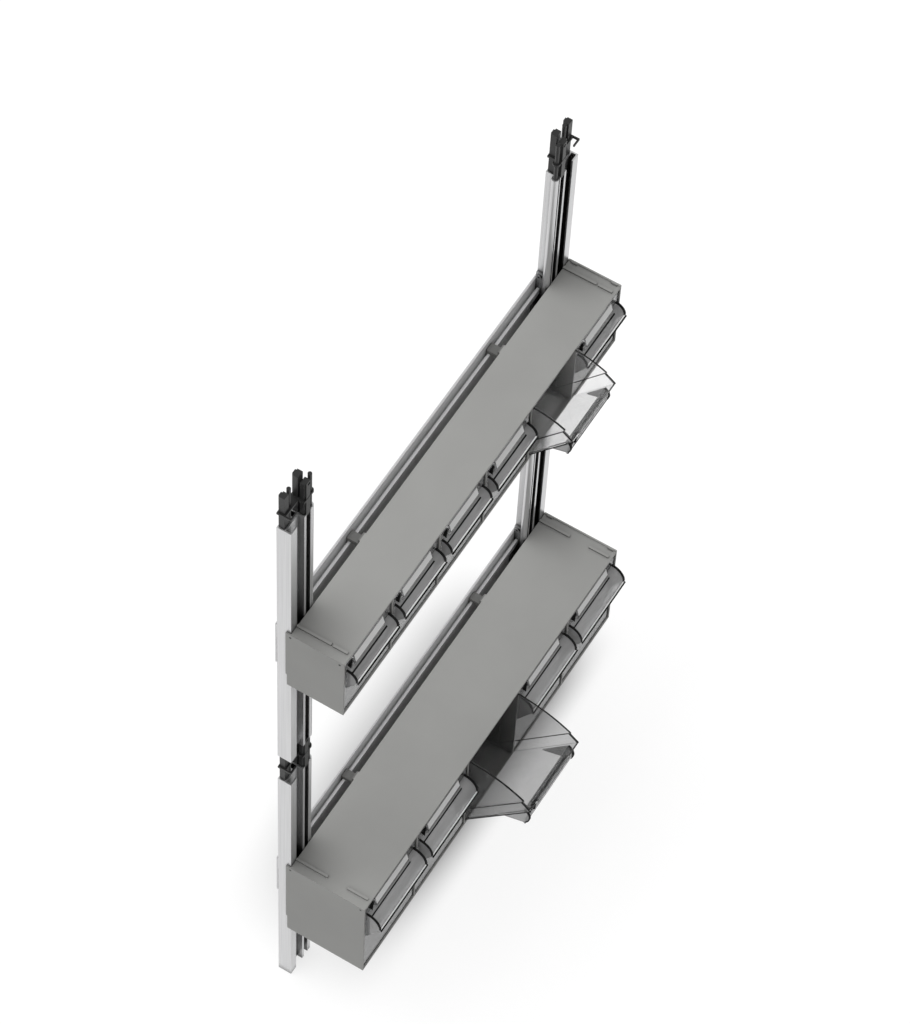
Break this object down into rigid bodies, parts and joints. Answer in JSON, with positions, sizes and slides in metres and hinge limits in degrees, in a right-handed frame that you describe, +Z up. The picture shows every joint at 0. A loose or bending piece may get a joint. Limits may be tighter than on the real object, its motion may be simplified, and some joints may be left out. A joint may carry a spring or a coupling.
{
  "type": "small parts drawer rack",
  "caption": "Modular rack with two stacked aluminium frames, each carrying one row of clear tilt-out bins in a grey housing.",
  "frame": {"origin": "middle of the lower rail's back face, the face that lies against the wall", "axes": "+X along the rows to the right seen from the front, +Y back towards the wall, +Z up"},
  "size_m": [0.6, 0.2178, 1.122],
  "materials": {
    "anodised_aluminium": "satin",
    "bracket_aluminium": "satin",
    "screw_steel": "satin",
    "black_plastic": "matte",
    "grey_plastic": "matte",
    "clear_plastic": "glossy",
    "label_card": "matte"
  },
  "bodies": {
    "lower_frame": {"lower_left_upright": "anodised_aluminium", "lower_right_upright": "anodised_aluminium", "lower_rail": "anodised_aluminium", "lower_left_bracket": "bracket_aluminium", "lower_right_bracket": "bracket_aluminium", "lower_bracket_screws": "screw_steel"},
    "upper_frame": {"upper_left_upright": "anodised_aluminium", "upper_right_upright": "anodised_aluminium", "upper_rail": "anodised_aluminium", "upper_left_bracket": "bracket_aluminium", "upper_right_bracket": "bracket_aluminium", "upper_bracket_screws": "screw_steel"},
    "mid_left_joiner": {"mid_left_connector": "black_plastic"},
    "top_left_joiner": {"top_left_connector": "black_plastic"},
    "mid_right_joiner": {"mid_right_connector": "black_plastic"},
    "top_right_joiner": {"top_right_connector": "black_plastic"},
    "lower_row": {"lower_housing": "grey_plastic"},
    "lower_bin_body_1": {"lower_bin_1": "clear_plastic", "lower_label_1": "label_card"},
    "lower_bin_body_2": {"lower_bin_2": "clear_plastic", "lower_label_2": "label_card"},
    "lower_bin_body_3": {"lower_bin_3": "clear_plastic", "lower_label_3": "label_card"},
    "lower_bin_body_4": {"lower_bin_4": "clear_plastic", "lower_label_4": "label_card"},
    "lower_bin_body_5": {"lower_bin_5": "clear_plastic", "lower_label_5": "label_card"},
    "upper_row": {"upper_housing": "grey_plastic"},
    "upper_bin_body_1": {"upper_bin_1": "clear_plastic", "upper_label_1": "label_card"},
    "upper_bin_body_2": {"upper_bin_2": "clear_plastic", "upper_label_2": "label_card"},
    "upper_bin_body_3": {"upper_bin_3": "clear_plastic", "upper_label_3": "label_card"},
    "upper_bin_body_4": {"upper_bin_4": "clear_plastic", "upper_label_4": "label_card"},
    "upper_bin_body_5": {"upper_bin_5": "clear_plastic", "upper_label_5": "label_card"},
    "upper_bin_body_6": {"upper_bin_6": "clear_plastic", "upper_label_6": "label_card"}
  },
  "joints": [
    {"name": "upper_frame_lift", "type": "slide", "parent": "lower_frame", "child": "upper_frame", "axis": [0, 0, 1], "range_m": [-0.052, 0.127]},
    {"name": "mid_left_connector_slide", "type": "slide", "parent": "lower_frame", "child": "mid_left_joiner", "axis": [0, 0, 1], "range_m": [-0.026, 0.0635]},
    {"name": "top_left_connector_slide", "type": "slide", "parent": "upper_frame", "child": "top_left_joiner", "axis": [0, 0, 1], "range_m": [-0.026, 0.044]},
    {"name": "mid_right_connector_slide", "type": "slide", "parent": "lower_frame", "child": "mid_right_joiner", "axis": [0, 0, 1], "range_m": [-0.026, 0.0635]},
    {"name": "top_right_connector_slide", "type": "slide", "parent": "upper_frame", "child": "top_right_joiner", "axis": [0, 0, 1], "range_m": [-0.026, 0.044]},
    {"name": "lower_row_lift", "type": "slide", "parent": "lower_frame", "child": "lower_row", "axis": [0, 0, 1], "range_m": [0, 0.008]},
    {"name": "lower_bin_1_tilt", "type": "hinge", "parent": "lower_row", "child": "lower_bin_body_1", "pos_m": [-0.2392, -0.1226, -0.116], "axis": [1, 0, 0], "range_deg": [0, 39.16]},
    {"name": "lower_bin_2_tilt", "type": "hinge", "parent": "lower_row", "child": "lower_bin_body_2", "pos_m": [-0.1196, -0.1226, -0.116], "axis": [1, 0, 0], "range_deg": [0, 39.16]},
    {"name": "lower_bin_3_tilt", "type": "hinge", "parent": "lower_row", "child": "lower_bin_body_3", "pos_m": [0, -0.1226, -0.116], "axis": [1, 0, 0], "range_deg": [-39.16, 0]},
    {"name": "lower_bin_4_tilt", "type": "hinge", "parent": "lower_row", "child": "lower_bin_body_4", "pos_m": [0.1196, -0.1226, -0.116], "axis": [1, 0, 0], "range_deg": [0, 39.16]},
    {"name": "lower_bin_5_tilt", "type": "hinge", "parent": "lower_row", "child": "lower_bin_body_5", "pos_m": [0.2392, -0.1226, -0.116], "axis": [1, 0, 0], "range_deg": [0, 39.16]},
    {"name": "upper_row_lift", "type": "slide", "parent": "upper_frame", "child": "upper_row", "axis": [0, 0, 1], "range_m": [0, 0.008]},
    {"name": "upper_bin_1_tilt", "type": "hinge", "parent": "upper_row", "child": "upper_bin_body_1", "pos_m": [-0.24917, -0.0866, 0.491], "axis": [1, 0, 0], "range_deg": [0, 37.31]},
    {"name": "upper_bin_2_tilt", "type": "hinge", "parent": "upper_row", "child": "upper_bin_body_2", "pos_m": [-0.1495, -0.0866, 0.491], "axis": [1, 0, 0], "range_deg": [0, 37.31]},
    {"name": "upper_bin_3_tilt", "type": "hinge", "parent": "upper_row", "child": "upper_bin_body_3", "pos_m": [-0.04983, -0.0866, 0.491], "axis": [1, 0, 0], "range_deg": [0, 37.31]},
    {"name": "upper_bin_4_tilt", "type": "hinge", "parent": "upper_row", "child": "upper_bin_body_4", "pos_m": [0.04983, -0.0866, 0.491], "axis": [1, 0, 0], "range_deg": [0, 37.31]},
    {"name": "upper_bin_5_tilt", "type": "hinge", "parent": "upper_row", "child": "upper_bin_body_5", "pos_m": [0.1495, -0.0866, 0.491], "axis": [1, 0, 0], "range_deg": [-37.31, 0]},
    {"name": "upper_bin_6_tilt", "type": "hinge", "parent": "upper_row", "child": "upper_bin_body_6", "pos_m": [0.24917, -0.0866, 0.491], "axis": [1, 0, 0], "range_deg": [0, 37.31]}
  ],
  "couplings": [
    {"joint": "mid_left_connector_slide", "follows": "upper_frame_lift", "ratio": 0.5},
    {"joint": "mid_right_connector_slide", "follows": "upper_frame_lift", "ratio": 0.5}
  ]
}
